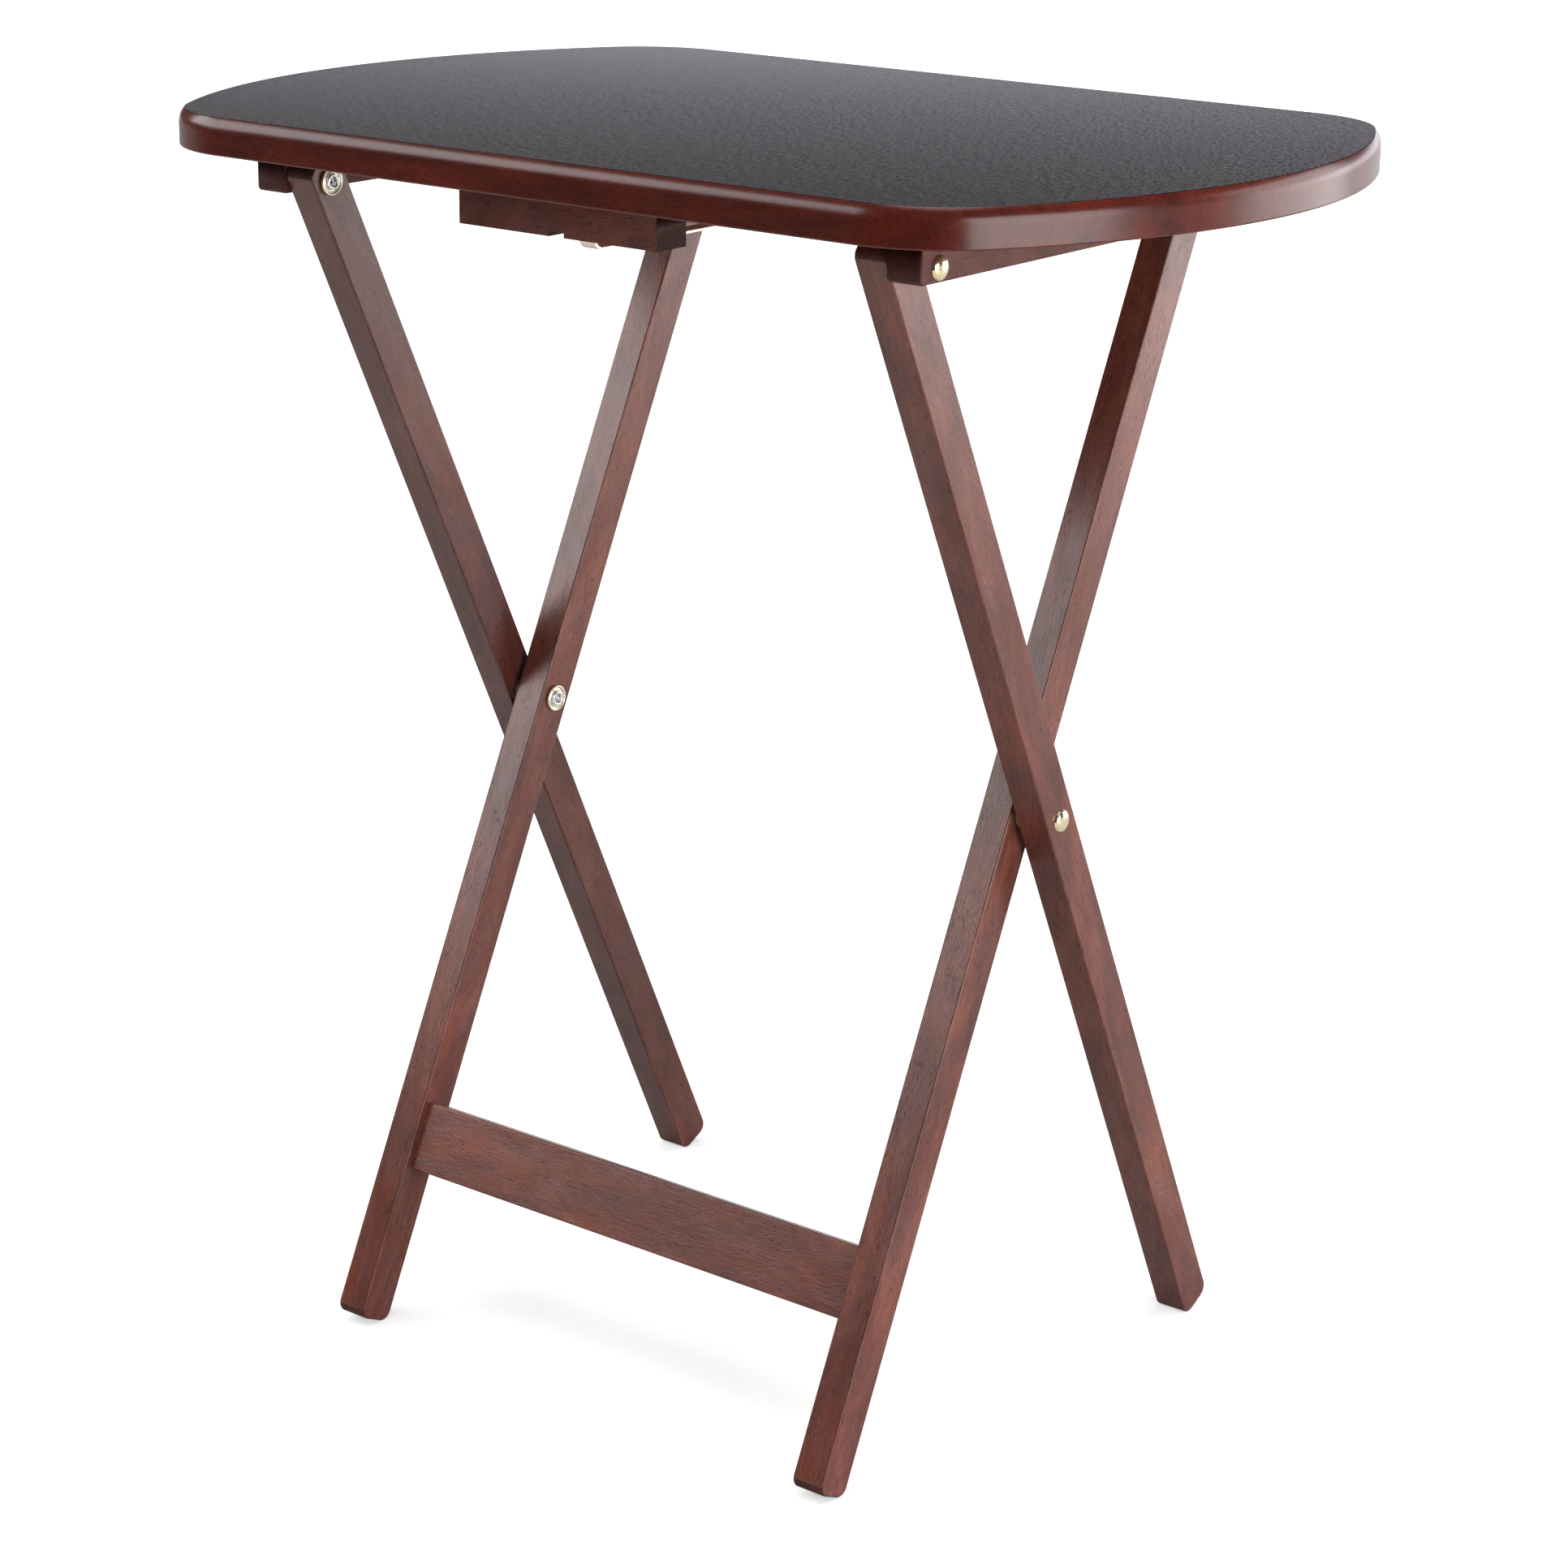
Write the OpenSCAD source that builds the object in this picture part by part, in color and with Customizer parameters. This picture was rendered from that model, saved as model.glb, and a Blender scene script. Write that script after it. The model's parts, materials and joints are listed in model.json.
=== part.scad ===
// Folding tray table: two crossed leg pairs that fold like scissors under a
// rounded tray.  Millimetres, +Z up, +X to the user's right, -Y the front edge.
// Origin: on the floor, under the middle of the tray.

/* [Tray] */
// Height of the tray's top face above the floor
table_h = 660; // [640:1:680]
// Length of the tray, end to end
tray_len = 605; // [580:1:640]
// Depth of the tray, front to back
tray_depth = 397; // [380:1:420]
// Thickness of the tray
tray_t = 19; // [16:0.5:22]
// Radius of the bowed ends of the tray
end_r = 318; // [300:1:360]
// Radius of the tray's corners
corner_r = 64; // [50:1:75]
// Radius of the curve down the tray's upper edge
top_round = 11; // [8:0.5:14]
// Radius of the small rounding along the bottom edge
bottom_round = 1; // [0.5:0.25:2]

/* [Legs] */
// Leg width, seen from the side
leg_w = 22.5; // [20:0.5:25]
// Leg thickness, seen from the front
leg_t = 18.5; // [16:0.5:20]
// Angle between each leg and the vertical when open
lean = 25.4; // [24:0.1:27]
// Distance from the crossing rivet to the tray rivet
pivot_len = 333.5; // [325:0.5:340]
// How far the crossing rivet lies in front of the tray's middle
cross_forward = 3.5; // [0:0.5:6]
// Half the distance between the outer legs' inner faces
outer_half = 171; // [165:0.5:175]
// Gap between an outer leg and an inner leg
leg_gap = 4; // [3.5:0.1:5]
// Rounding of the leg ends, seen from the side
leg_end_r = 6; // [3:0.5:8]
// Easing of the long edges
edge_r = 1.2; // [0.5:0.1:2]

/* [Cross pieces] */
// Distance from the crossing rivet down to the stretcher's upper edge
stretcher_drop = 233; // [200:1:260]
// Height of the stretcher
stretcher_h = 37.5; // [30:0.5:45]
// Thickness of the stretcher
stretcher_t = 13.5; // [12:0.5:16]
// Diameter of the round bar at the top of the inner legs
bar_d = 12; // [11.5:0.1:12]
// How much nearer the crossing the bar lies than the tray rivet
bar_inset = 8.4; // [8.2:0.1:8.6]

/* [Under the tray] */
// Thickness of the two cleats that the outer legs are riveted to
cleat_t = 19.5; // [18:0.5:21]
// Height of the cleats and blocks
cleat_h = 22.5; // [21.5:0.5:24]
// How far a cleat reaches past its rivet
cleat_nose = 14; // [13:0.5:16]
// Width of the two blocks, left to right
block_len = 125; // [100:1:140]
// Depth of the two blocks, front to back
block_depth = 22; // [18:0.5:24]
// Distance of the tray rivet below the tray's underside
pivot_drop = 15.5; // [15.2:0.1:16]
// Width of the metal guide strap
strap_w = 10; // [8:0.5:12]
// Thickness of the metal guide strap
strap_t = 1.2; // [1:0.1:1.4]

/* [Hardware] */
// Diameter of the rivet shanks
shank_d = 6.3; // [5.5:0.1:6.5]
// Diameter of the rivet heads
head_d = 12; // [11:0.5:13]
// Height of the domed rivet heads
head_h = 2.8; // [2:0.1:3.5]
// Diameter of the washers
washer_d = 14.5; // [13:0.5:15]

/* [Hidden] */
$fn = 48;

// Clearances
body_gap = 0.3;             // between pieces that move past each other
run_gap = 0.05;             // radial, round a shank that turns in wood
overlap = 1;                // how far a cutting shape passes a face

// Heights and places worked out from the sizes above
under_z = table_h - tray_t;
top_break = 41;             // slope at which the tray's edge curve meets its top face
pivot_z = under_z - pivot_drop;
cross_z = pivot_z - pivot_len * cos(lean);
cross_y = -cross_forward;
pivot_y = cross_y - pivot_len * sin(lean);
bar_len = pivot_len - bar_inset;
bar_y = cross_y + bar_len * sin(lean);

// Angle left free where two arcs of the tray's outline meet, so that no point repeats
arc_skip = 2;

// Leg ends, measured along the leg from the crossing rivet
foot_side = leg_w / 2 - leg_end_r;
foot_len = (cross_z - leg_end_r - foot_side * sin(lean)) / cos(lean) + leg_end_r;
outer_top = pivot_len + leg_w / 2;
inner_room = under_z - body_gap - cross_z - leg_end_r - foot_side * sin(lean);
inner_top = inner_room / cos(lean) + leg_end_r;

// Left-right places of the faces, on the +X side
outer_face = outer_half + leg_t;
inner_out = outer_half - leg_gap;
inner_in = inner_out - leg_t;
cleat_in = outer_face + body_gap;
cleat_out = cleat_in + cleat_t;

// Guide strap: a flat run with an upturned end against each block
strap_bend_r = 7;
strap_bar_gap = 0.5;        // under the bar, when the bar is at its lowest
strap_set_back = 0.4;       // how far its front face lies behind the tray rivets' axis
strap_short = 2;            // how far its ends stop below the tray
strap_top = pivot_z - bar_inset - bar_d / 2 - strap_bar_gap;
strap_bottom = strap_top - strap_t;
strap_front = pivot_y + strap_set_back;
strap_back = bar_y + bar_d / 2 + body_gap + strap_t;
strap_ends_z = under_z - strap_short;

// Screws that hold the strap's ends to the blocks
strap_screw_up = 1;         // above the middle of the blocks' height
strap_screw_z = under_z - cleat_h / 2 + strap_screw_up;
strap_screw_d = 3;
strap_screw_head_d = 5.4;
strap_screw_len = 14;

// Cleats, as long behind the tray's middle as in front of it
cleat_front = pivot_y - cleat_nose;
cleat_back = -cleat_front;
cleat_nose_r = 2.5;         // rounding of the lower corners, seen from the side
cleat_edge_r = 1.5;         // rounding of the long lower edges

// Notch under each block, over the strap
notch_w = 9.5;
notch_h = 2.5;

// Countersunk screws that come up through the cleats and blocks
screw_d = 4;
screw_head_d = 8;
screw_head_h = 2.6;
screw_sunk = 0.4;           // how far a head lies inside the wood
screw_bite = 12;            // how far a screw reaches into the tray
cleat_screw_y = [-105, 0, 105];
block_screw_x = [-45, 45];

// Dowels in the stretcher's ends, and the round bar's seats
dowel_d = 8;
dowel_len = 36;
dowel_side = 9;             // each dowel's distance from the stretcher's middle line
stretcher_mid = stretcher_drop + stretcher_h / 2;
bar_seat = 12;              // how far the bar enters each inner leg

// Washers, spacers and clinched rivet ends
washer_t = 1;
washer_lip = 0.6;
spacer_d = 17;
clinch_d = 8.6;
clinch_h = 1.6;
clinch_bore = 4.4;

// Inner ends of the rivets, past the leg, the running gap and the washer
pivot_end = outer_half - body_gap - washer_t - clinch_h;
cross_end = inner_in - body_gap - washer_t - clinch_h;

// Colours
tray_c = [0.16, 0.09, 0.08];
wood_c = [0.36, 0.20, 0.16];
brass_c = [0.85, 0.76, 0.50];
zinc_c = [0.80, 0.80, 0.74];
beech_c = [0.78, 0.64, 0.46];
steel_c = [0.62, 0.62, 0.62];

// ---- plane shapes ----

// A rectangle centred on the origin with its corners rounded
module rounded_rect(width, height, r) {
    square([width - 2 * r, height], center = true);
    square([width, height - 2 * r], center = true);
    for (sx = [-1, 1], sy = [-1, 1])
        translate([sx * (width / 2 - r), sy * (height / 2 - r)]) circle(r, $fn = 32);
}

// A rectangle standing on the origin with both lower corners rounded
module low_rounded(width, height, r) {
    translate([-width / 2, r]) square([width, height - r]);
    translate([r - width / 2, 0]) square([width - 2 * r, height]);
    for (s = [-1, 1]) translate([s * (width / 2 - r), r]) circle(r, $fn = 32);
}

// Points on an arc, both ends included
function arc(cx, cy, r, from, to, steps) =
    [for (i = [0:steps]) let (a = from + (to - from) * i / steps) [cx + r * cos(a), cy + r * sin(a)]];

// The tray's outline, moved in by d: straight long edges, bowed ends, round corners
function tray_outline(d) =
    let (
        end_cx = tray_len / 2 - end_r,
        corner_cy = tray_depth / 2 - corner_r,
        corner_cx = end_cx + sqrt(pow(end_r - corner_r, 2) - pow(corner_cy, 2)),
        join = atan2(corner_cy, corner_cx - end_cx),
        right = concat(
            arc(corner_cx, -corner_cy, corner_r - d, -90, -join, 16),
            arc(end_cx, 0, end_r - d, -join + arc_skip, join - arc_skip, 22),
            arc(corner_cx, corner_cy, corner_r - d, join, 90, 16)
        ),
        left = [for (p = right) [-p[0], -p[1]]]
    )
    concat(right, left);

// ---- shapes used more than once ----

// One upright leg that reaches up and down from the crossing rivet's axis
module leg_blank(up, down) {
    middle = (up - down) / 2;
    intersection() {
        translate([0, 0, -down]) linear_extrude(up + down) rounded_rect(leg_t, leg_w, edge_r);
        rotate([90, 0, 90]) translate([0, middle, 0])
            linear_extrude(leg_t + 2 * overlap, center = true) rounded_rect(leg_w, up + down, leg_end_r);
    }
}

// A hole or pin along X, centred on x = 0
module along_x(d, length) {
    rotate([0, 90, 0]) cylinder(d = d, h = length, center = true);
}

// Moves a leg's own frame onto the crossing rivet: angle > 0 leans the top forward
module at_crossing(angle) {
    translate([0, cross_y, cross_z]) rotate([angle, 0, 0]) children();
}

// Outer legs: the crossing rivet is tight in them, and they turn on the tray rivets
module outer_leg(side) {
    color(wood_c) at_crossing(lean) translate([side * (outer_half + leg_t / 2), 0, 0]) difference() {
        leg_blank(outer_top, foot_len);
        along_x(shank_d, leg_t + 2 * overlap);
        translate([0, 0, pivot_len]) along_x(shank_d + 2 * run_gap, leg_t + 2 * overlap);
    }
}

// Inner legs: they turn on the crossing rivets and hold the round bar and the stretcher
module inner_leg(side) {
    color(wood_c) at_crossing(-lean) translate([side * (inner_out - leg_t / 2), 0, 0]) difference() {
        leg_blank(inner_top, foot_len);
        along_x(shank_d + 2 * run_gap, leg_t + 2 * overlap);
        translate([-side * (leg_t / 2 - bar_seat / 2), 0, bar_len]) along_x(bar_d, bar_seat);
        for (s = [-1, 1])
            translate([-side * (leg_t / 2 - dowel_len / 4), 0, -stretcher_mid + s * dowel_side])
                along_x(dowel_d, dowel_len / 2);
    }
}

// A cleat with its lower edges rounded, drilled for the tray rivet and its screws
module cleat(side) {
    run = cleat_back - cleat_front;
    middle_x = side * (cleat_in + cleat_t / 2);
    color(wood_c) difference() {
        translate([middle_x, 0, under_z - cleat_h]) intersection() {
            rotate([90, 0, 90]) linear_extrude(cleat_t, center = true)
                low_rounded(run, cleat_h, cleat_nose_r);
            rotate([90, 0, 0]) linear_extrude(run, center = true)
                low_rounded(cleat_t, cleat_h, cleat_edge_r);
        }
        translate([middle_x, pivot_y, pivot_z]) along_x(shank_d, cleat_t + 2 * overlap);
        for (y = cleat_screw_y) translate([middle_x, y, 0]) screw_hole();
    }
}

// A countersunk screw standing on its head, point up
module wood_screw(length, d, wide, cone_h) {
    cylinder(d1 = wide, d2 = d, h = cone_h);
    cylinder(d = d, h = length);
}

// A screw from under a cleat or block into the tray, and the hole it goes through
module under_screw() {
    translate([0, 0, under_z - cleat_h + screw_sunk])
        wood_screw(cleat_h - screw_sunk + screw_bite, screw_d, screw_head_d, screw_head_h);
}

module screw_hole() {
    translate([0, 0, under_z - cleat_h]) {
        cylinder(d = screw_head_d, h = screw_sunk);
        translate([0, 0, screw_sunk]) cylinder(d1 = screw_head_d, d2 = screw_d, h = screw_head_h);
        cylinder(d = screw_d, h = cleat_h + overlap);
    }
}

// A block with a notch in its underside; its face towards the bar is at y = face_y
module block(face_y, outward) {
    middle_y = face_y + outward * block_depth / 2;
    color(wood_c) difference() {
        translate([0, middle_y, under_z - cleat_h / 2])
            cube([block_len, block_depth, cleat_h], center = true);
        translate([0, middle_y, under_z - cleat_h])
            cube([notch_w, block_depth + 2 * overlap, 2 * notch_h], center = true);
        for (x = block_screw_x) translate([x, middle_y, 0]) screw_hole();
        translate([0, face_y, strap_screw_z]) rotate([-outward * 90, 0, 0])
            translate([0, 0, -overlap]) cylinder(d = strap_screw_d, h = strap_screw_len + overlap);
    }
}

// A rivet from its domed head, outside at from_x, to its rolled-over end at to_x
module rivet(side, from_x, to_x) {
    sphere_r = (pow(head_d / 2, 2) + pow(head_h, 2)) / (2 * head_h);
    rotate([0, side * 90, 0]) difference() {
        union() {
            translate([0, 0, from_x]) intersection() {
                translate([0, 0, head_h - sphere_r]) sphere(sphere_r, $fn = 64);
                cylinder(d = head_d + overlap, h = head_h + overlap);
            }
            translate([0, 0, to_x]) cylinder(d = shank_d, h = from_x - to_x);
            translate([0, 0, to_x]) clinch();
        }
        translate([0, 0, to_x - overlap]) cylinder(d = clinch_bore, h = clinch_h + overlap);
    }
}

// The rolled end: a ring with a rounded rim, standing on z = 0
module clinch() {
    rim = clinch_h / 2;
    cylinder(d = clinch_d - 2 * rim, h = clinch_h);
    rotate_extrude() translate([clinch_d / 2 - rim, rim]) circle(rim, $fn = 24);
}

// A cup washer whose raised lip faces the middle of the table
module cup_washer(side, face_x, bore) {
    translate([side * face_x, 0, 0]) rotate([0, -side * 90, 0]) difference() {
        union() {
            cylinder(d = washer_d, h = washer_t);
            translate([0, 0, washer_t]) rotate_extrude()
                translate([washer_d / 2 - washer_lip, 0]) circle(washer_lip, $fn = 24);
        }
        translate([0, 0, -overlap]) cylinder(d = bore, h = washer_t + 2 * overlap);
    }
}

module at_pivot() {
    translate([0, pivot_y, pivot_z]) children();
}

module pivot_rivet(side) {
    color(brass_c) at_pivot() rivet(side, cleat_out, pivot_end);
}

module pivot_washer(side) {
    color(zinc_c) at_pivot() cup_washer(side, outer_half - body_gap, shank_d);
}

module cross_rivet(side) {
    color(brass_c) at_crossing(lean) rivet(side, outer_face, cross_end);
}

module cross_washer(side) {
    color(zinc_c) at_crossing(lean) cup_washer(side, inner_in - body_gap, shank_d);
}

// The ring between an outer and an inner leg, round the crossing rivet
module spacer(side) {
    thick = leg_gap - body_gap;
    color(zinc_c) at_crossing(lean) translate([side * (outer_half - thick / 2), 0, 0]) difference() {
        along_x(spacer_d, thick);
        along_x(shank_d, thick + 2 * overlap);
    }
}

// ---- the sub-parts ----

// A closed solid through one ring of the tray's outline at each [inset, height] level
module ringed_board(levels) {
    outlines = [for (level = levels) tray_outline(level[0])];
    n = len(outlines[0]);
    last = len(levels) - 1;
    points = [for (k = [0:last]) for (p = outlines[k]) [p[0], p[1], levels[k][1]]];
    bottom = [for (i = [0:n - 1]) i];
    top = [for (i = [n - 1:-1:0]) last * n + i];
    sides = [
        for (k = [0:last - 1]) for (i = [0:n - 1])
            let (next = (i + 1) % n)
            [k * n + i, (k + 1) * n + i, (k + 1) * n + next, k * n + next]
    ];
    polyhedron(points, concat([bottom], sides, [top]));
}

module tray_top() {
    bottom_edge = [
        for (a = [90, 45, 0])
            [bottom_round * (1 - cos(a)), under_z + bottom_round * (1 - sin(a))]
    ];
    top_edge = [
        for (i = [0:6]) let (a = top_break * i / 6)
            [top_round * (1 - cos(a)), table_h - top_round * (sin(top_break) - sin(a))]
    ];
    color(tray_c) ringed_board(concat(bottom_edge, top_edge));
}

module front_block() {
    block(strap_front, -1);
}

module rear_block() {
    block(strap_back, 1);
}

module guide_strap() {
    bend_in = strap_bend_r - strap_t;
    front_c = strap_front + strap_bend_r;
    back_c = strap_back - strap_bend_r;
    bend_z = strap_bottom + strap_bend_r;
    outside = concat(
        arc(front_c, bend_z, strap_bend_r, 180, 270, 10),
        arc(back_c, bend_z, strap_bend_r, -90, 0, 10)
    );
    inside = concat(
        arc(back_c, bend_z, bend_in, 0, -90, 10),
        arc(front_c, bend_z, bend_in, 270, 180, 10)
    );
    back_end = [[strap_back, strap_ends_z], [strap_back - strap_t, strap_ends_z]];
    front_end = [[strap_front + strap_t, strap_ends_z], [strap_front, strap_ends_z]];
    color(brass_c) difference() {
        rotate([90, 0, 90]) linear_extrude(strap_w, center = true)
            polygon(concat(outside, back_end, inside, front_end));
        translate([0, strap_front, strap_screw_z]) rotate([-90, 0, 0])
            cylinder(d1 = strap_screw_d, d2 = strap_screw_head_d, h = strap_t);
        translate([0, strap_back, strap_screw_z]) rotate([90, 0, 0])
            cylinder(d1 = strap_screw_d, d2 = strap_screw_head_d, h = strap_t);
    }
}

module strap_screws() {
    for (end = [[strap_front + strap_t, 90], [strap_back - strap_t, -90]])
        color(steel_c) translate([0, end[0], strap_screw_z]) rotate([end[1], 0, 0])
            wood_screw(strap_screw_len + strap_t, strap_screw_d, strap_screw_head_d, strap_t);
}

module cleat_screws() {
    for (side = [-1, 1], y = cleat_screw_y)
        color(steel_c) translate([side * (cleat_in + cleat_t / 2), y, 0]) under_screw();
}

module block_screws() {
    for (y = [strap_front - block_depth / 2, strap_back + block_depth / 2], x = block_screw_x)
        color(steel_c) translate([x, y, 0]) under_screw();
}

module stretcher() {
    color(wood_c) at_crossing(-lean) translate([0, 0, -stretcher_mid]) difference() {
        rotate([90, 0, 90]) linear_extrude(2 * inner_in, center = true)
            rounded_rect(stretcher_t, stretcher_h, edge_r);
        for (side = [-1, 1], s = [-1, 1])
            translate([side * (inner_in - dowel_len / 4), 0, s * dowel_side])
                along_x(dowel_d, dowel_len / 2);
    }
}

module stretcher_dowels() {
    for (side = [-1, 1], s = [-1, 1])
        color(beech_c) at_crossing(-lean)
            translate([side * inner_in, 0, -stretcher_mid + s * dowel_side]) along_x(dowel_d, dowel_len);
}

module top_bar() {
    color(wood_c) at_crossing(-lean) translate([0, 0, bar_len]) along_x(bar_d, 2 * (inner_in + bar_seat));
}

tray_top();
cleat(-1);  // cleat_left
cleat(1);  // cleat_right
front_block();
rear_block();
guide_strap();
strap_screws();
cleat_screws();
block_screws();
pivot_rivet(-1);  // pivot_rivet_left
pivot_rivet(1);  // pivot_rivet_right
pivot_washer(-1);  // pivot_washer_left
pivot_washer(1);  // pivot_washer_right
outer_leg(-1);  // outer_leg_left
outer_leg(1);  // outer_leg_right
cross_rivet(-1);  // cross_rivet_left
cross_rivet(1);  // cross_rivet_right
cross_washer(-1);  // cross_washer_left
cross_washer(1);  // cross_washer_right
spacer(-1);  // spacer_left
spacer(1);  // spacer_right
inner_leg(-1);  // inner_leg_left
inner_leg(1);  // inner_leg_right
stretcher();
stretcher_dowels();
top_bar();
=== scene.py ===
import json
import math

import bmesh
import bpy
from mathutils import Euler, Matrix, Vector


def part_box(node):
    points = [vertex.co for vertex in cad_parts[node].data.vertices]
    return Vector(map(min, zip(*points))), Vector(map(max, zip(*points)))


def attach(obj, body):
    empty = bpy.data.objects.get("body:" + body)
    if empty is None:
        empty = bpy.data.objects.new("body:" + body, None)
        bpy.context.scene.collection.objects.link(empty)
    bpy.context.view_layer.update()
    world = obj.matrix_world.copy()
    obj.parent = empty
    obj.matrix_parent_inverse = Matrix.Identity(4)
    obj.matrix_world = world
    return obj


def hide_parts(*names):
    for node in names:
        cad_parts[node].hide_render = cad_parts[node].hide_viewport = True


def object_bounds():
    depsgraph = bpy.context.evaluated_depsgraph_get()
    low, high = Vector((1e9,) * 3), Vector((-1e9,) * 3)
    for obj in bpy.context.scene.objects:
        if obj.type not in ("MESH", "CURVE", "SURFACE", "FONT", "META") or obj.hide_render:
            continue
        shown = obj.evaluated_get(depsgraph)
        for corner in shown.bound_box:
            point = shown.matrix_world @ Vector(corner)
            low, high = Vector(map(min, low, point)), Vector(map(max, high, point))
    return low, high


# The look of a folding tray table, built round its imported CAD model. Metres, +Z up.
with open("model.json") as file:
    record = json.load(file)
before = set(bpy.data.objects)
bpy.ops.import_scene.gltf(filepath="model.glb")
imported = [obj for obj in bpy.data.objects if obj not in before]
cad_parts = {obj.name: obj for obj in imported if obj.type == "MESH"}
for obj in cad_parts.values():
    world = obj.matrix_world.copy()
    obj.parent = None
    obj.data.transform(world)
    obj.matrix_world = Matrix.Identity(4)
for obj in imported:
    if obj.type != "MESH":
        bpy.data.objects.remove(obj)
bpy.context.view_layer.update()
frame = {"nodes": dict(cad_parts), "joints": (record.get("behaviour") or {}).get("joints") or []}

# ---------------------------------------------------------------- the frame

NODES = frame["nodes"]
JOINTS = {joint["name"]: Vector(joint["pos_m"]) for joint in frame["joints"]}
CROSSING = JOINTS["leg_fold"]
TRAY_PIVOT = JOINTS["tray_pivot"]
LEAN = math.atan2(CROSSING.y - TRAY_PIVOT.y, TRAY_PIVOT.z - CROSSING.z)
SIDES = {"left": -1, "right": 1}
# Painted light and shade: each leg's stain is made darker or lighter by how that leg is lit, though all
# four legs are one wood.
LEG_PAINTED_LIGHT_AND_SHADE = {
    "outer_leg_left": 0.68, "outer_leg_right": 0.95, "inner_leg_left": 1.05, "inner_leg_right": 1.0,
}

# The wood screws under the tray, and the smaller ones that hold the strap.
SCREW_HEAD = 0.008
SCREW_SHANK = 0.004
SCREW_CONE = 0.0026         # height of the countersunk head
STRAP_SCREW = 0.0152        # length
STRAP_SCREW_SHANK = 0.003
STRAP_SCREW_CONE = 0.0012

# Turns that bring grain along X or along Y onto the Z axis.
GRAIN_X = (0, math.pi / 2, 0)
GRAIN_Y = (math.pi / 2, 0, 0)

# Brightness of each wood against the legs' stain, and how much duller the unlacquered pieces are.
UNDERSIDE_TINT = 0.8
UNDERSIDE_MATT = 0.25
CLEAT_TINT = 0.62
CLEAT_END_TINT = 0.9
BLOCK_TINT = 0.85
BLOCK_END_TINT = 0.6
ROUGH_MATT = 0.28
STRETCHER_TINT = 1.05
DOWEL_TINT = 2.5            # bare wood


# ---------------------------------------------------------------- node helpers

def new_material(name):
    """A new material that uses nodes, and its default Principled shader."""
    material = bpy.data.materials.new(name)
    material.use_nodes = True
    tree = material.node_tree
    shader = tree.nodes["Principled BSDF"]
    return material, tree, shader


def add(tree, kind, inputs=None, **settings):
    """A new node with its settings, and its inputs set or linked."""
    made = tree.nodes.new(kind)
    for name, value in settings.items():
        setattr(made, name, value)
    for name, value in (inputs or {}).items():
        if isinstance(value, bpy.types.NodeSocket):
            tree.links.new(value, made.inputs[name])
        else:
            made.inputs[name].default_value = value
    return made


def grain_space(tree, turn, shift, squeeze):
    """Object coordinates turned so that Z runs along the grain, then squeezed along it."""
    coords = add(tree, "ShaderNodeTexCoord")
    turned = add(
        tree, "ShaderNodeMapping",
        {"Vector": coords.outputs["Object"], "Location": shift, "Rotation": turn},
    )
    return add(
        tree, "ShaderNodeMapping",
        {"Vector": turned.outputs["Vector"], "Scale": (1, 1, squeeze)},
    ).outputs["Vector"]


def noise(tree, space, scale, detail=3.0, roughness=0.5, distortion=0.0):
    return add(
        tree, "ShaderNodeTexNoise",
        {"Vector": space, "Scale": scale, "Detail": detail, "Roughness": roughness,
         "Distortion": distortion},
    ).outputs["Fac"]


def ramp(tree, value, stops):
    """A colour ramp: stops are (position, grey or colour)."""
    made = add(tree, "ShaderNodeValToRGB", {"Fac": value})
    elements = made.color_ramp.elements
    while len(elements) < len(stops):
        elements.new(0.5)
    for element, (position, colour) in zip(elements, stops):
        element.position = position
        grey = isinstance(colour, (int, float))
        element.color = (colour, colour, colour, 1) if grey else (*colour, 1)
    return made.outputs["Color"]


def mix(tree, factor, a, b, blend="MIX"):
    made = add(tree, "ShaderNodeMix", data_type="RGBA", blend_type=blend)
    for socket, value in zip((made.inputs[0], made.inputs[6], made.inputs[7]), (factor, a, b)):
        if isinstance(value, bpy.types.NodeSocket):
            tree.links.new(value, socket)
        else:
            socket.default_value = value if isinstance(value, (int, float)) else (*value, 1)
    return made.outputs[2]


def bump(tree, height, distance, strength=1.0):
    return add(
        tree, "ShaderNodeBump", {"Height": height, "Distance": distance, "Strength": strength}
    ).outputs["Normal"]


# ---------------------------------------------------------------- materials

STAIN_DARK = (0.095, 0.026, 0.019)
STAIN_MID = (0.150, 0.045, 0.033)
STAIN_LIGHT = (0.225, 0.075, 0.052)
ROSY = (0.98, 1.03, 1.12)
ORANGE = (1.12, 0.98, 0.80)
PORE = (0.016, 0.006, 0.005)


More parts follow.
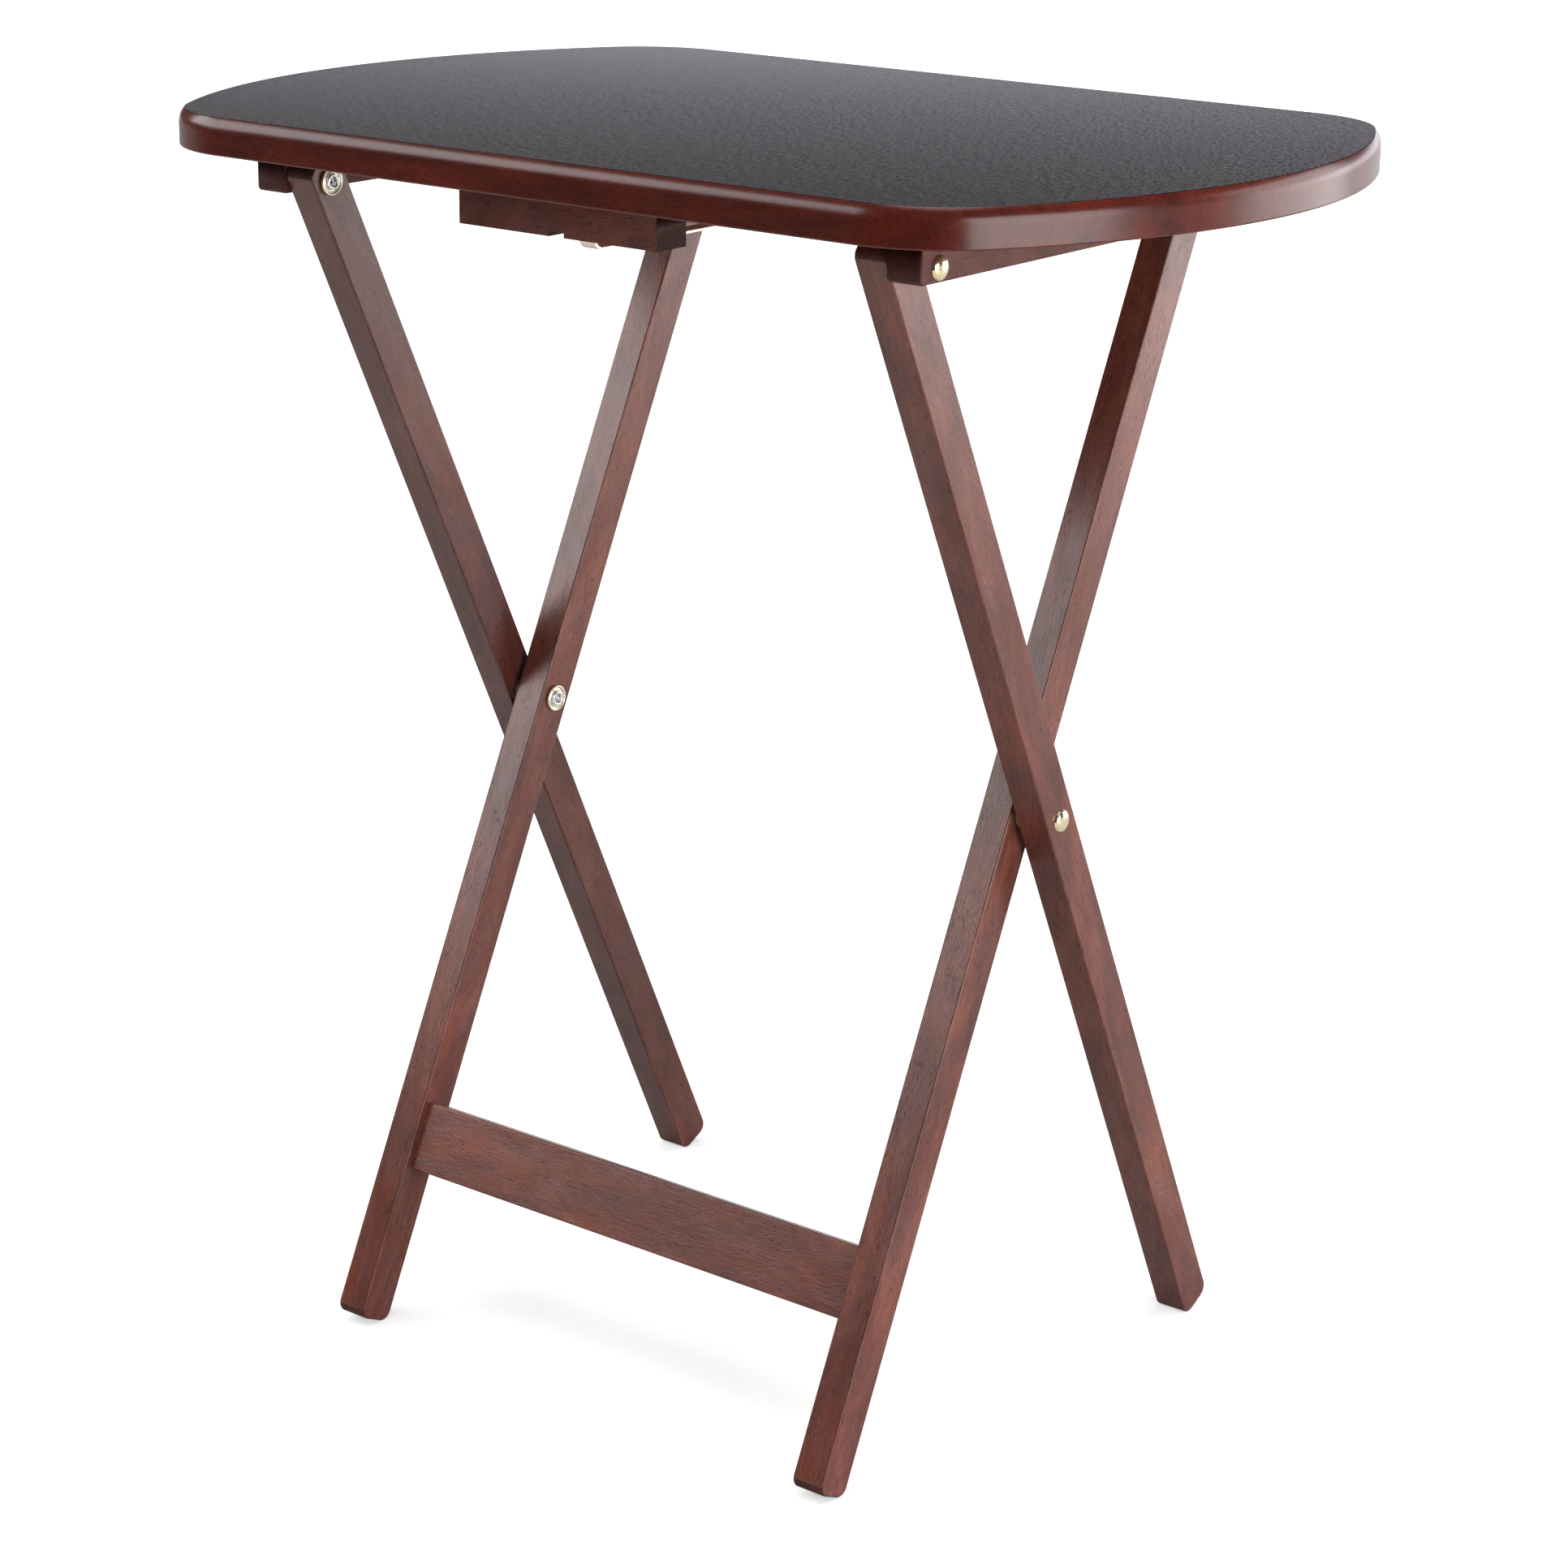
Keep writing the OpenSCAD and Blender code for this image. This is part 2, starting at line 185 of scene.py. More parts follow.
def stained_wood(name, turn, shift, tint=1.0, matt=0.0, edge_highlights=False):
    """Walnut-stained hardwood under a semi-gloss lacquer. turn brings the grain onto Z.

    The eased edges get a variant painted a little darker with a broken pale line: painted shade and
    painted highlight.
    """
    material, tree, shader = new_material(name)
    clouds = grain_space(tree, turn, shift, 0.30)
    fine = grain_space(tree, turn, shift, 0.10)
    pores = grain_space(tree, turn, shift, 0.14)

    cloud = noise(tree, clouds, 38, detail=4, roughness=0.6, distortion=0.8)
    tone = ramp(tree, cloud, [(0.30, STAIN_DARK), (0.50, STAIN_MID), (0.72, STAIN_LIGHT)])
    warmth = ramp(tree, noise(tree, clouds, 90, detail=2), [(0.36, ROSY), (0.64, ORANGE)])
    tone = mix(tree, 1.0, tone, warmth, "MULTIPLY")
    streaks = ramp(tree, noise(tree, fine, 1100, detail=3, roughness=0.7), [(0.30, 0.74), (0.70, 1.24)])
    tone = mix(tree, 1.0, tone, streaks, "MULTIPLY")
    dashes = ramp(tree, noise(tree, pores, 1900, detail=1, roughness=0.4), [(0.56, 0.0), (0.70, 0.85)])
    patches = ramp(tree, noise(tree, clouds, 120, detail=2), [(0.38, 0.15), (0.62, 1.0)])
    dashes = mix(tree, 1.0, dashes, patches, "MULTIPLY")
    tone = mix(tree, dashes, tone, PORE)
    if edge_highlights:
        # Painted highlight and shade along the eased edges: darker patches broken by pale ones.
        painted_edge_shading = ramp(tree, noise(tree, fine, 300, detail=4, roughness=0.7), [(0.50, 0.80), (0.66, 1.30)])
        tone = mix(tree, 1.0, tone, painted_edge_shading, "MULTIPLY")
    tree.links.new(mix(tree, 1.0, tone, (tint, tint, tint), "MULTIPLY"), shader.inputs["Base Color"])

    gloss = ramp(tree, noise(tree, clouds, 160, detail=3), [(0.30, 0.20 + matt), (0.70, 0.27 + matt)])
    tree.links.new(gloss, shader.inputs["Roughness"])
    shader.inputs["Specular IOR Level"].default_value = 0.5 - matt
    height = mix(tree, dashes, streaks, (0.0, 0.0, 0.0))
    tree.links.new(bump(tree, height, 0.00010, 0.45), shader.inputs["Normal"])
    return material


def end_grain(name, shift, tint=1.0):
    """Sawn ends of the stained wood: darker and flatter, speckled with pores."""
    material, tree, shader = new_material(name)
    space = grain_space(tree, (0, 0, 0), shift, 1)
    tone = ramp(tree, noise(tree, space, 260, detail=3), [(0.35, STAIN_DARK), (0.70, STAIN_MID)])
    pores = ramp(tree, noise(tree, space, 1700, detail=2), [(0.50, 0.0), (0.66, 1.0)])
    tone = mix(tree, pores, tone, PORE)
    shade = (0.75 * tint, 0.75 * tint, 0.75 * tint)
    tree.links.new(mix(tree, 1.0, tone, shade, "MULTIPLY"), shader.inputs["Base Color"])
    shader.inputs["Roughness"].default_value = 0.55
    shader.inputs["Specular IOR Level"].default_value = 0.25
    tree.links.new(bump(tree, pores, 0.00010, 0.6), shader.inputs["Normal"])
    return material


def along_legs(angle):
    """The turn that brings a leg leaning at angle onto the Z axis."""
    return (-angle, 0, 0)


def dark_top():
    """The tray's top face: espresso, nearly black, with a satin sheen over fine short grain."""
    material, tree, shader = new_material("tray_espresso")
    grain = grain_space(tree, GRAIN_Y, (0.31, 0.12, 0.07), 0.28)
    speckle = noise(tree, grain, 950, detail=2, roughness=0.7)
    cloud = noise(tree, grain, 24, detail=3)
    tone = ramp(tree, speckle, [(0.38, (0.0050, 0.0036, 0.0036)), (0.64, (0.027, 0.0190, 0.0168))])
    warm = ramp(tree, cloud, [(0.35, (0.85, 0.85, 0.95)), (0.65, (1.15, 1.02, 1.00))])
    tree.links.new(mix(tree, 1.0, tone, warm, "MULTIPLY"), shader.inputs["Base Color"])
    gloss = ramp(tree, speckle, [(0.35, 0.07), (0.65, 0.17)])
    tree.links.new(gloss, shader.inputs["Roughness"])
    tree.links.new(bump(tree, speckle, 0.00004, 0.30), shader.inputs["Normal"])
    return material


def rim_gloss():
    """The tray's edge: deep red-brown under a clear lacquer with slight orange peel."""
    material, tree, shader = new_material("tray_rim")
    grain = grain_space(tree, GRAIN_X, (0.05, 0.4, 0.2), 0.25)
    cloud = noise(tree, grain, 60, detail=4, roughness=0.6)
    tone = ramp(tree, cloud, [(0.32, (0.050, 0.0070, 0.0040)), (0.70, (0.118, 0.0165, 0.0080))])
    flecks = ramp(tree, noise(tree, grain, 1100, detail=3), [(0.35, 0.80), (0.65, 1.18)])
    tree.links.new(mix(tree, 1.0, tone, flecks, "MULTIPLY"), shader.inputs["Base Color"])
    shader.inputs["Roughness"].default_value = 0.24
    shader.inputs["Specular IOR Level"].default_value = 0.42
    coords = add(tree, "ShaderNodeTexCoord").outputs["Object"]
    peel = noise(tree, coords, 420, detail=2)
    tree.links.new(bump(tree, peel, 0.00006, 0.5), shader.inputs["Normal"])
    return material


def plate(name, colour, roughness, patch_colour, dents=0.3):
    """Plated metal with faint cloudy patches."""
    material, tree, shader = new_material(name)
    coords = add(tree, "ShaderNodeTexCoord").outputs["Object"]
    cloud = ramp(tree, noise(tree, coords, 420, detail=3), [(0.38, 0.0), (0.66, 1.0)])
    tree.links.new(mix(tree, cloud, colour, patch_colour), shader.inputs["Base Color"])
    edge_highlights = ramp(
        tree, noise(tree, coords, 1500, detail=3),
        [(0.35, roughness * 0.8), (0.65, roughness * 1.25)],
    )
    tree.links.new(edge_highlights, shader.inputs["Roughness"])
    shader.inputs["Metallic"].default_value = 1.0
    tree.links.new(bump(tree, noise(tree, coords, 900, detail=2), 0.00004, dents), shader.inputs["Normal"])
    return material


def pale_floor():
    """A matt white floor that brightens far behind, and where it is seen directly."""
    material, tree, shader = new_material("pale_floor")
    seen = add(tree, "ShaderNodeLightPath").outputs["Is Camera Ray"]
    tree.links.new(
        mix(tree, seen, (0.55, 0.55, 0.55), (0.80, 0.80, 0.80)), shader.inputs["Base Color"]
    )
    coords = add(tree, "ShaderNodeTexCoord").outputs["Object"]
    along = add(tree, "ShaderNodeSeparateXYZ", {"Vector": coords}).outputs["Y"]
    far = add(
        tree, "ShaderNodeMapRange",
        {"Value": along, "From Min": 2.2, "From Max": 4.0, "To Min": 0.0, "To Max": 0.6},
    ).outputs["Result"]
    lift = add(tree, "ShaderNodeMath", {0: seen, 1: 0.50, 2: far}, operation="MULTIPLY_ADD")
    shader.inputs["Emission Color"].default_value = (1, 1, 1, 1)
    tree.links.new(lift.outputs["Value"], shader.inputs["Emission Strength"])
    shader.inputs["Roughness"].default_value = 0.9
    shader.inputs["Specular IOR Level"].default_value = 0.0
    return material


def dress(node, *materials):
    """Gives a CAD node or piece its materials, in slot order."""
    slots = node.data.materials
    for i, material in enumerate(materials):
        if i < len(slots):
            slots[i] = material
        else:
            slots.append(material)


# ---------------------------------------------------------------- mesh helpers

def finish_mesh(mesh, name):
    """Turns a bmesh into an object in the scene."""
    bmesh.ops.recalc_face_normals(mesh, faces=mesh.faces)
    for face in mesh.faces:
        face.smooth = True
    data = bpy.data.meshes.new(name)
    mesh.to_mesh(data)
    mesh.free()
    made = bpy.data.objects.new(name, data)
    bpy.context.scene.collection.objects.link(made)
    return made


def stand_for(piece, node, body):
    """Lets a piece take the place of a CAD node."""
    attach(piece, body)
    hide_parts(node)


def arc(cx, cy, radius, start, stop, steps):
    """Points on an arc from start to stop, without the last one."""
    angles = [start + (stop - start) * i / steps for i in range(steps)]
    return [Vector((cx + radius * math.cos(a), cy + radius * math.sin(a))) for a in angles]


def rounded_outline(corners, steps=10):
    """An anticlockwise outline through (x, y, radius) corners; radius 0 stays sharp."""
    points = []
    for i, (x, y, radius) in enumerate(corners):
        here = Vector((x, y))
        if radius == 0:
            points.append(here)
            continue
        back = (Vector(corners[i - 1][:2]) - here).normalized()
        ahead = (Vector(corners[(i + 1) % len(corners)][:2]) - here).normalized()
        half = back.angle(ahead) / 2
        centre = here + (back + ahead).normalized() * (radius / math.sin(half))
        start = here + back * (radius / math.tan(half)) - centre
        first = math.atan2(start.y, start.x)
        points += arc(centre.x, centre.y, radius, first, first + math.pi - 2 * half, steps)
        points.append(here + ahead * (radius / math.tan(half)))
    return points


def moved_in(outline, inset):
    """The outline with every edge moved inwards."""
    moved = []
    for i, point in enumerate(outline):
        before = (point - outline[i - 1]).normalized()
        after = (outline[(i + 1) % len(outline)] - point).normalized()
        inward = Vector((-before.y - after.y, before.x + after.x)) / (1 + before.dot(after))
        moved.append(point + inward * inset)
    return moved


def solid(name, outline, levels, place):
    """A solid from its outline moved in by each level's (inset, w), lowest first.

    place turns (u, v, w) into a point of the frame.
    """
    mesh = bmesh.new()
    loops = [
        [mesh.verts.new(place(point.x, point.y, w)) for point in moved_in(outline, inset)]
        for inset, w in levels
    ]
    join_loops(mesh, loops)
    mesh.faces.new(loops[-1])
    mesh.faces.new(reversed(loops[0]))
    made = finish_mesh(mesh, name)
    even = made.modifiers.new("flat faces stay flat", "WEIGHTED_NORMAL")
    even.weight = 100
    return made


def lower_round(low, radius, steps):
    """Levels up a round-over at the low end of w."""
    turns = [math.pi / 2 * (1 - i / steps) for i in range(steps + 1)]
    return [(radius * (1 - math.cos(a)), low + radius * (1 - math.sin(a))) for a in turns]


def upper_round(high, radius, steps):
    """Levels up a round-over at the high end of w."""
    turns = [math.pi / 2 * i / steps for i in range(steps + 1)]
    return [(radius * (1 - math.cos(a)), high - radius * (1 - math.sin(a))) for a in turns]


def slab(name, outline, span, round_over, place, steps=5):
    """A solid whose two faces lie at span's ends of w, with one round-over along both edges."""
    low, high = span
    levels = lower_round(low, round_over, steps) + upper_round(high, round_over, steps)
    return solid(name, outline, levels, place)


def join_loops(mesh, loops, material=0):
    """Faces between one loop of points and the next; a loop of one point closes the shape."""
    for lower, upper in zip(loops, loops[1:]):
        count = max(len(lower), len(upper))
        for i in range(count):
            j = (i + 1) % count
            corners = [lower[i % len(lower)], lower[j % len(lower)],
                       upper[j % len(upper)], upper[i % len(upper)]]
            face = mesh.faces.new(list(dict.fromkeys(corners)))
            face.material_index = material


def turned(mesh, profile, place, shape=None, segments=48, material=0):
    """Adds a turned shape through (height, radius) pairs; shape may alter each point."""
    loops = []
    for height, radius in profile:
        loop = []
        for i in range(segments if radius > 0 else 1):
            angle = 2 * math.pi * i / segments
            h, r = shape(angle, height, radius) if shape else (height, radius)
            loop.append(mesh.verts.new(place(r * math.cos(angle), r * math.sin(angle), h)))
        loops.append(loop)
    join_loops(mesh, loops, material)


def paint(piece, index_for):
    """Gives each face the material slot that index_for picks from its normal."""
    for face in piece.data.polygons:
        face.material_index = index_for(face.normal)


# ---------------------------------------------------------------- tray, legs and wooden parts

END_RADIUS = 0.318          # the tray's bowed ends
CORNER_RADIUS = 0.064
TOP_ROUND = 0.011           # the curve down the tray's upper edge
TOP_BREAK = math.radians(41)    # slope at which it meets the top
ARRIS = 0.0006              # rounding of the line where they meet
BOTTOM_ROUND = 0.001
LEG_WIDTH = 0.0225
LEG_END_RADIUS = 0.006
LEG_EDGE = 0.0010           # eased edges
CLEAT_NOSE = 0.0025
CLEAT_EDGE = 0.0012
BLOCK_EDGE = 0.0004
NOTCH = (0.0095, 0.0025)
STRETCHER_DROP = 0.233      # from the crossing down to the stretcher, along the legs
STRETCHER_HEIGHT = 0.0375
STRETCHER_THICKNESS = 0.0135
STRETCHER_END = 0.0001      # rounding at its ends, which butt against the legs


def tray_board(top_material, rim_material, under_material):
    """The board: straight long edges, bowed ends, round corners and a curved upper edge."""
    low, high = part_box("tray_top")
    corner_y = high.y - CORNER_RADIUS
    end_x = high.x - END_RADIUS
    corner_x = end_x + math.sqrt((END_RADIUS - CORNER_RADIUS) ** 2 - corner_y ** 2)
    join = math.atan2(corner_y, corner_x - end_x)
    quarter = math.pi / 2
    right = (
        arc(corner_x, -corner_y, CORNER_RADIUS, -quarter, -join, 40)
        + arc(end_x, 0, END_RADIUS, -join, join, 80)
        + arc(corner_x, corner_y, CORNER_RADIUS, join, quarter, 40)
        + [Vector((corner_x, high.y))]
    )
    arris_foot = high.z - ARRIS * (1 - math.sin(TOP_BREAK))
    curve = [TOP_BREAK * i / 12 for i in range(12)]
    arris = [TOP_BREAK + (quarter - TOP_BREAK) * i / 4 for i in range(5)]
    start = TOP_ROUND * (1 - math.cos(TOP_BREAK)) + ARRIS * math.cos(TOP_BREAK)
    levels = (
        lower_round(low.z, BOTTOM_ROUND, 5)
        + [(TOP_ROUND * (1 - math.cos(a)),
            arris_foot - TOP_ROUND * (math.sin(TOP_BREAK) - math.sin(a))) for a in curve]
        + [(start - ARRIS * math.cos(a), high.z - ARRIS * (1 - math.sin(a))) for a in arris]
    )
    board = solid(
        "tray_board", right + [-point for point in right], levels, lambda u, v, w: Vector((u, v, w))
    )
    top_from, under_from = math.sin(TOP_BREAK) + 0.02, -0.5
    paint(board, lambda normal: 0 if normal.z > top_from else 2 if normal.z < under_from else 1)
    dress(board, top_material, rim_material, under_material)
    stand_for(board, "tray_top", "tray")


def crossing_place(lean):
    """Puts (across, along, x) of a leg that leans about the crossing rivet into the frame."""
    turn = Matrix.Rotation(lean, 3, "X")
    return lambda u, v, w: Vector((w, CROSSING.y, CROSSING.z)) + turn @ Vector((0, u, v))


def leg(name, node, body, lean, faces, ends, edges):
    """A straight leg with eased edges and rounded ends."""
    low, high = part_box(node)
    side = LEG_WIDTH / 2 - LEG_END_RADIUS

    def reach(height):
        return (height - LEG_END_RADIUS - side * math.sin(LEAN)) / math.cos(LEAN) + LEG_END_RADIUS

    up, down, half = reach(high.z - CROSSING.z), reach(CROSSING.z - low.z), LEG_WIDTH / 2
    outline = rounded_outline([
        (-half, -down, LEG_END_RADIUS), (half, -down, LEG_END_RADIUS),
        (half, up, LEG_END_RADIUS), (-half, up, LEG_END_RADIUS),
    ])
    made = slab(name, outline, (low.x, high.x), LEG_EDGE, crossing_place(lean))
    axis = Matrix.Rotation(lean, 3, "X") @ Vector((0, 0, 1))
    across = Matrix.Rotation(lean, 3, "X") @ Vector((0, 1, 0))

    def slot_for(normal):
        if abs(normal.dot(axis)) > 0.3:
            return 1
        return 0 if max(abs(normal.x), abs(normal.dot(across))) > 0.99 else 2

    paint(made, slot_for)
    dress(made, faces, ends, edges)
    stand_for(made, node, body)


def cleat(name, node, faces, ends):
    """A straight cleat whose two lower corners are rounded."""
    low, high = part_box(node)
    outline = rounded_outline([
        (low.y, low.z, CLEAT_NOSE), (high.y, low.z, CLEAT_NOSE), (high.y, high.z, 0), (low.y, high.z, 0),
    ])
    near_top = high.z - 2 * CLEAT_EDGE
    made = slab(
        name, outline, (low.x, high.x), CLEAT_EDGE,
        lambda u, v, w: Vector((w, u, high.z if v > near_top else v)),
    )
    paint(made, lambda normal: 1 if abs(normal.y) > 0.8 else 0)
    dress(made, faces, ends)
    stand_for(made, node, "tray")


def block(name, node, faces, ends):
    """A block with crisp edges and the strap's notch in its underside."""
    low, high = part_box(node)
    half, depth = NOTCH[0] / 2, NOTCH[1]
    outline = [Vector(point) for point in (
        (low.x, low.z), (-half, low.z), (-half, low.z + depth), (half, low.z + depth),
        (half, low.z), (high.x, low.z), (high.x, high.z), (low.x, high.z),
    )]
    made = slab(
        name, outline, (low.y, high.y), BLOCK_EDGE, lambda u, v, w: Vector((u, w, v))
    )
    paint(made, lambda normal: 1 if abs(normal.x) > 0.8 else 0)
    dress(made, faces, ends)
    stand_for(made, node, "tray")


def stretcher(faces):
    """The board between the inner legs, in line with them."""
    low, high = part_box("stretcher")
    half, top = STRETCHER_THICKNESS / 2, -STRETCHER_DROP
    outline = rounded_outline([
        (-half, top - STRETCHER_HEIGHT, LEG_EDGE), (half, top - STRETCHER_HEIGHT, LEG_EDGE),
        (half, top, LEG_EDGE), (-half, top, LEG_EDGE),
    ], steps=5)
    made = slab("stretcher_board", outline, (low.x, high.x), STRETCHER_END, crossing_place(-LEAN))
    dress(made, faces)
    stand_for(made, "stretcher", "inner_frame")


# ---------------------------------------------------------------- hardware

HEAD_HEIGHT = 0.0028
CLINCH_HEIGHT = 0.0016
SHANK_RADIUS = 0.00315
# Profiles in millimetres: (height, radius).
HEAD_EDGE = [(0.50, 5.80), (0.40, 5.93), (0.22, 6.00), (0.05, 5.97), (0.00, 5.85), (0.00, 3.15)]
CLINCH = [
    (0.00, 3.15), (0.02, 3.60), (0.12, 4.00), (0.40, 4.24), (0.80, 4.30), (1.20, 4.20), (1.48, 3.90),
    (1.60, 3.50), (1.56, 3.05), (1.38, 2.65), (1.00, 2.35), (0.30, 2.15), (-1.20, 1.95), (-1.60, 0.00),
]
CUP_WASHER = [
    (0.00, 3.20), (0.00, 6.90), (0.12, 7.15), (0.45, 7.25), (1.00, 7.25), (1.40, 7.10), (1.58, 6.85),
    (1.58, 6.50), (1.38, 6.20), (0.95, 6.00), (0.70, 5.80), (0.66, 5.50), (0.80, 5.20), (0.98, 5.00),
    (1.02, 4.75), (1.02, 3.45), (0.92, 3.25), (0.00, 3.20),
]
SPACER = [
    (0.00, 3.20), (0.00, 8.20), (0.10, 8.40), (0.30, 8.50), (3.40, 8.50), (3.60, 8.40), (3.70, 8.20),
    (3.70, 3.20), (0.00, 3.20),
]


def along_x(x, centre, outward):
    """Puts a turned shape on an axis along X: height runs outward (1) or back (-1) from x."""
    return lambda u, v, h: Vector((x + outward * h, centre.y + v, centre.z + u * outward))


def metres(profile):
    return [(height / 1000, radius / 1000) for height, radius in profile]


def ends_of(node, sign):
    """A node's outer and inner X on its own side of the table."""
    low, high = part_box(node)
    return (high.x, low.x) if sign > 0 else (low.x, high.x)


def rivet(name, node, body, centre, sign, crimp, head_material, end_material):
    """A domed head outside, a shank, and a rolled tubular end inside."""
    outer, inner = ends_of(node, sign)
    seat = outer - sign * HEAD_HEIGHT
    roll = inner + sign * CLINCH_HEIGHT
    dome = [
        (0.00050 + 0.00230 * math.cos(math.pi / 2 * i / 14), 0.0058 * math.sin(math.pi / 2 * i / 14))
        for i in range(14)
    ]

    def crimped(angle, height, radius):
        depth = crimp * height if radius > 0.0024 else 0
        return height + depth * math.sin(5 * angle + 1), radius * (1 + crimp * 0.4 * math.cos(7 * angle))

    mesh = bmesh.new()
    turned(mesh, dome + metres(HEAD_EDGE), along_x(seat, centre, sign))
    turned(mesh, [(0, SHANK_RADIUS), (abs(seat - roll), SHANK_RADIUS)], along_x(seat, centre, -sign))
    turned(mesh, metres(CLINCH), along_x(roll, centre, -sign), crimped, material=1)
    made = finish_mesh(mesh, name)
    dress(made, head_material, end_material)
    stand_for(made, node, body)


def ring(name, node, body, centre, sign, profile, material):
    """A washer or spacer: its profile's height runs towards the middle of the table."""
    outer = ends_of(node, sign)[0]
    mesh = bmesh.new()
    turned(mesh, metres(profile), along_x(outer, centre, -sign), segments=64)
    made = finish_mesh(mesh, name)
    dress(made, material)
    stand_for(made, node, body)


def screws(name, node, starts, sizes, material):
    """Countersunk cross-head wood screws, each from its head's place toward its point.

    sizes are the length, the shank's and the head's diameters, and the height of the head's cone.
    """
    length, shank, head, cone = sizes
    arm_width, arm_length, arm_depth = head * 0.10, head * 0.30, head * 0.16
    pitch = shank * 0.45

    def cross(u, v):
        def arm(p, q):
            return max(0, min(1, (arm_width - abs(p)) / (arm_width * 0.4))) * max(
                0, min(1, (arm_length - abs(q)) / (arm_length * 0.3)))
        return arm_depth * max(arm(u, v), arm(v, u))

    def head_shape(angle, height, radius):
        return height + cross(radius * math.cos(angle), radius * math.sin(angle)), radius

    def thread_shape(angle, height, radius):
        turn = (height / pitch - angle / (2 * math.pi)) % 1
        return height, radius * (0.80 + 0.20 * abs(2 * turn - 1))

    face = [(0, head / 2 * i / 10) for i in range(10)]
    body = [(0, head / 2 * 0.98), (cone * 0.08, head / 2), (cone, shank / 2)]
    steps = int((length - cone) / pitch * 6)
    thread = [
        (cone + (length - cone) * i / steps, shank / 2 * min(1, (steps - i) / (steps * 0.12)))
        for i in range(steps + 1)
    ]
    mesh = bmesh.new()
    for start, toward in starts:
        turn = Vector((0, 0, 1)).rotation_difference(Vector(toward)).to_matrix()

        def place(u, v, h, start=Vector(start), turn=turn):
            return start + turn @ Vector((u, v, h))

        turned(mesh, face + body, place, head_shape, segments=40)
        turned(mesh, thread, place, thread_shape, segments=20)
    made = finish_mesh(mesh, name)
    dress(made, material)
    stand_for(made, node, "tray")


# ---------------------------------------------------------------- build

espresso = dark_top()
rim = rim_gloss()
under = stained_wood("tray_underside", GRAIN_X, (0.4, 0.1, 0.3), UNDERSIDE_TINT, UNDERSIDE_MATT)
tray_board(espresso, rim, under)

for side, sign in SIDES.items():
    for pair, body, lean in (("outer", "outer_frame", LEAN), ("inner", "inner_frame", -LEAN)):
        node = f"{pair}_leg_{side}"
        shift = (0.31 * sign, 0.5 + 0.2 * lean, 0.17 * sign)
        # The leg's painted light and shade goes into its stain, end grain and edges.
        tint = LEG_PAINTED_LIGHT_AND_SHADE[node]
        leg(
            f"{node}_wood", node, body, lean,
            stained_wood(f"{node}_stain", along_legs(lean), shift, tint),
            end_grain(f"{node}_end_grain", shift, tint),
            # The edges' stain carries painted highlight and shade.
            stained_wood(f"{node}_edge_painted_highlight", along_legs(lean), shift, tint, edge_highlights=True),
        )
    cleat(
        f"cleat_{side}_wood", f"cleat_{side}",
        stained_wood(f"cleat_{side}_stain", GRAIN_Y, (0.9 * sign, 0.2, 0.6), CLEAT_TINT, ROUGH_MATT),
        end_grain(f"cleat_{side}_end_grain", (0.4 * sign, 0.6, 0.3), CLEAT_END_TINT),
    )
for place, shift in (("front", (0.15, 0.8, 0.9)), ("rear", (0.55, 0.3, 0.7))):
    block(
        f"{place}_block_wood", f"{place}_block",
        stained_wood(f"{place}_block_stain", GRAIN_X, shift, BLOCK_TINT, ROUGH_MATT),
        end_grain(f"{place}_block_end_grain", shift, BLOCK_END_TINT),
    )
stretcher(stained_wood("stretcher_stain", GRAIN_X, (0.35, 0.65, 0.25), STRETCHER_TINT))
dress(NODES["top_bar"], stained_wood("top_bar_stain", GRAIN_X, (0.85, 0.15, 0.45)))
dress(NODES["stretcher_dowels"], stained_wood("dowel_wood", GRAIN_X, (0.1, 0.1, 0.1), DOWEL_TINT))

brass = plate("polished_brass", (0.90, 0.76, 0.46), 0.14, (0.93, 0.82, 0.58), dents=0.1)
cream_zinc = plate("cream_zinc", (0.80, 0.75, 0.56), 0.36, (0.87, 0.83, 0.68))
bright_zinc = plate("bright_zinc", (0.74, 0.75, 0.78), 0.28, (0.86, 0.86, 0.87))
steel = plate("screw_metal", (0.58, 0.58, 0.58), 0.30, (0.68, 0.67, 0.64))
for side, sign in SIDES.items():
    for place, body, centre, crimp in (
        ("pivot", "tray", TRAY_PIVOT, 0.10), ("cross", "outer_frame", CROSSING, 0.02),
    ):
        rivet(
            f"{place}_rivet_{side}_metal", f"{place}_rivet_{side}", body, centre, sign, crimp,
            brass, bright_zinc,
        )
        ring(
            f"{place}_washer_{side}_metal", f"{place}_washer_{side}", body, centre, sign,
            CUP_WASHER, cream_zinc,
        )
    ring(
        f"spacer_{side}_metal", f"spacer_{side}", "outer_frame", CROSSING, sign, SPACER, cream_zinc
    )

for node in ("cleat_screws", "block_screws"):
    low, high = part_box(node)
    inset = SCREW_HEAD / 2
    rows = {
        "cleat_screws": (low.y + inset, (low.y + high.y) / 2, high.y - inset),
        "block_screws": (low.y + inset, high.y - inset),
    }[node]
    starts = [((x, y, low.z), (0, 0, 1)) for x in (low.x + inset, high.x - inset) for y in rows]
    sizes = (high.z - low.z, SCREW_SHANK, SCREW_HEAD, SCREW_CONE)
    screws(f"{node}_metal", node, starts, sizes, steel)
low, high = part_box("strap_screws")
height = (low.z + high.z) / 2
starts = [
    ((0, low.y + STRAP_SCREW, height), (0, -1, 0)), ((0, high.y - STRAP_SCREW, height), (0, 1, 0)),
]
sizes = (STRAP_SCREW, STRAP_SCREW_SHANK, high.z - low.z, STRAP_SCREW_CONE)
screws("strap_screws_metal", "strap_screws", starts, sizes, steel)
dress(NODES["guide_strap"], plate("strap_plate", (0.84, 0.68, 0.58), 0.30, (0.90, 0.78, 0.70)))

# ---------------------------------------------------------------- the stage

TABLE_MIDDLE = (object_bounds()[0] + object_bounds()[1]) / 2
FLOOR_FRONT = -2.0
FLOOR_BACK = 16.0
FLOOR_HALF = 14.0


